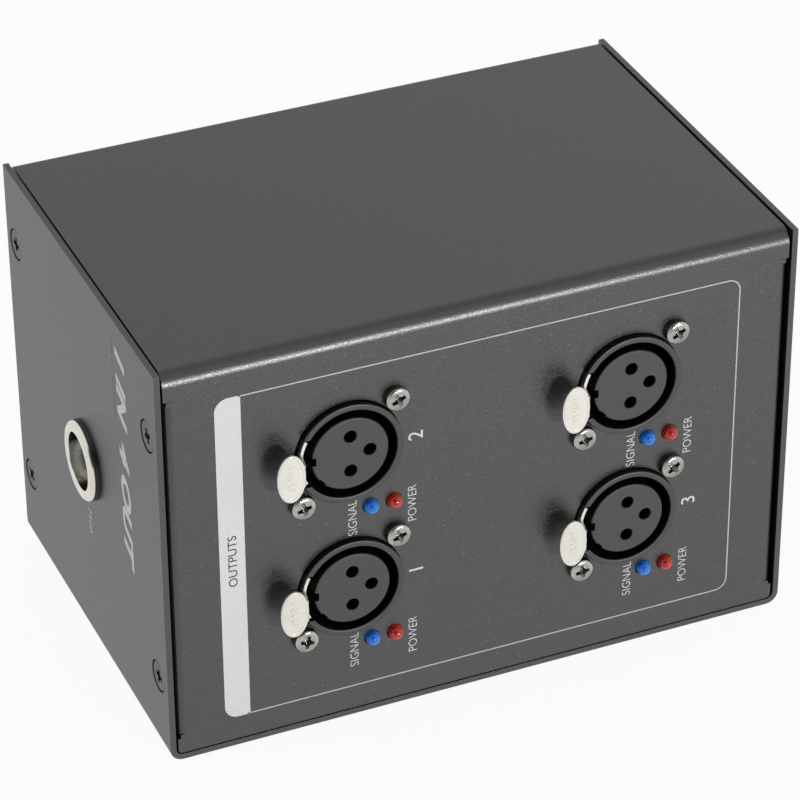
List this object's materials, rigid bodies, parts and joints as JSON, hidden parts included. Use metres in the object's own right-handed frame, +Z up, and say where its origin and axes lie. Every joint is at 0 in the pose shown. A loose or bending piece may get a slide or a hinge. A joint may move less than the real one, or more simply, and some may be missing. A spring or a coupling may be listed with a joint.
{
  "type": "dmx splitter",
  "caption": "Folded sheet-metal box that repeats a lighting control signal on round locking socket outputs with signal and power lamps, and hangs from a flanged bushing.",
  "frame": {"origin": "on the ground, under the middle of the box (the plates, not what stands out of them)", "axes": "+Z up; the output panel faces -Y; the plate with the hanging bushing faces -X"},
  "size_m": [0.1338, 0.095, 0.088],
  "materials": {
    "box_paint": "fine textured powder coat",
    "nickel": "bright nickel plate",
    "black_zinc": "black zinc",
    "zinc_steel": "zinc plate",
    "black_plastic": "moulded, satin",
    "insert_plastic": "moulded, matt",
    "blue_lens": "clear, tinted blue",
    "red_lens": "clear, tinted red",
    "board_green": "solder mask",
    "core_steel": "laminated core, varnished",
    "fuse_glass": "clear tube with plated caps",
    "lead_sleeve": "matt sleeve"
  },
  "bodies": {
    "box": {"board_link": "lead_sleeve", "board_screw_left_back": "zinc_steel", "board_screw_left_front": "zinc_steel", "board_screw_right": "zinc_steel", "chassis_shell": "box_paint", "cover_screw_left_back_high": "black_zinc", "cover_screw_left_back_low": "black_zinc", "cover_screw_left_front_high": "black_zinc", "cover_screw_left_front_low": "black_zinc", "cover_screw_right_back_high": "black_zinc", "cover_screw_right_back_low": "black_zinc", "cover_screw_right_front_high": "black_zinc", "cover_screw_right_front_low": "black_zinc", "cover_shell": "box_paint", "hanging_bushing": "nickel", "inlet_body": "black_plastic", "inlet_screw_a": "black_zinc", "inlet_screw_b": "black_zinc", "input_housing": "black_plastic", "input_insert": "insert_plastic", "input_lead": "lead_sleeve", "input_screw_a": "nickel", "input_screw_b": "nickel", "main_board": "board_green", "mains_lead": "lead_sleeve", "mains_transformer": "core_steel", "output_board": "board_green", "output_housing_1": "black_plastic", "output_housing_2": "black_plastic", "output_housing_3": "black_plastic", "output_housing_4": "black_plastic", "output_insert_1": "insert_plastic", "output_insert_2": "insert_plastic", "output_insert_3": "insert_plastic", "output_insert_4": "insert_plastic", "output_screw_1a": "nickel", "output_screw_1b": "nickel", "output_screw_2a": "nickel", "output_screw_2b": "nickel", "output_screw_3a": "nickel", "output_screw_3b": "nickel", "output_screw_4a": "nickel", "output_screw_4b": "nickel", "power_lamp_1": "red_lens", "power_lamp_2": "red_lens", "power_lamp_3": "red_lens", "power_lamp_4": "red_lens", "signal_lamp_1": "blue_lens", "signal_lamp_2": "blue_lens", "signal_lamp_3": "blue_lens", "signal_lamp_4": "blue_lens", "standoff_left_back": "zinc_steel", "standoff_left_front": "zinc_steel", "standoff_right": "zinc_steel"},
    "lever_1": {"latch_1": "nickel"},
    "lever_2": {"latch_2": "nickel"},
    "lever_3": {"latch_3": "nickel"},
    "lever_4": {"latch_4": "nickel"},
    "drawer": {"fuse_drawer": "black_plastic", "mains_fuse": "fuse_glass"}
  },
  "joints": [
    {"name": "lever_1_press", "type": "hinge", "parent": "box", "child": "lever_1", "pos_m": [-0.038, -0.0365, 0.031], "axis": [0, 0, -1], "range_deg": [0, 6], "stiffness_Nm_per_rad": 0.05, "springref_deg": -5.73},
    {"name": "lever_2_press", "type": "hinge", "parent": "box", "child": "lever_2", "pos_m": [-0.038, -0.0365, 0.062], "axis": [0, 0, -1], "range_deg": [0, 6], "stiffness_Nm_per_rad": 0.05, "springref_deg": -5.73},
    {"name": "lever_3_press", "type": "hinge", "parent": "box", "child": "lever_3", "pos_m": [0.0205, -0.0365, 0.031], "axis": [0, 0, -1], "range_deg": [0, 6], "stiffness_Nm_per_rad": 0.05, "springref_deg": -5.73},
    {"name": "lever_4_press", "type": "hinge", "parent": "box", "child": "lever_4", "pos_m": [0.0205, -0.0365, 0.062], "axis": [0, 0, -1], "range_deg": [0, 6], "stiffness_Nm_per_rad": 0.05, "springref_deg": -5.73},
    {"name": "fuse_drawer_slide", "type": "slide", "parent": "box", "child": "drawer", "axis": [0, 1, 0], "range_m": [0, 0.014]}
  ]
}
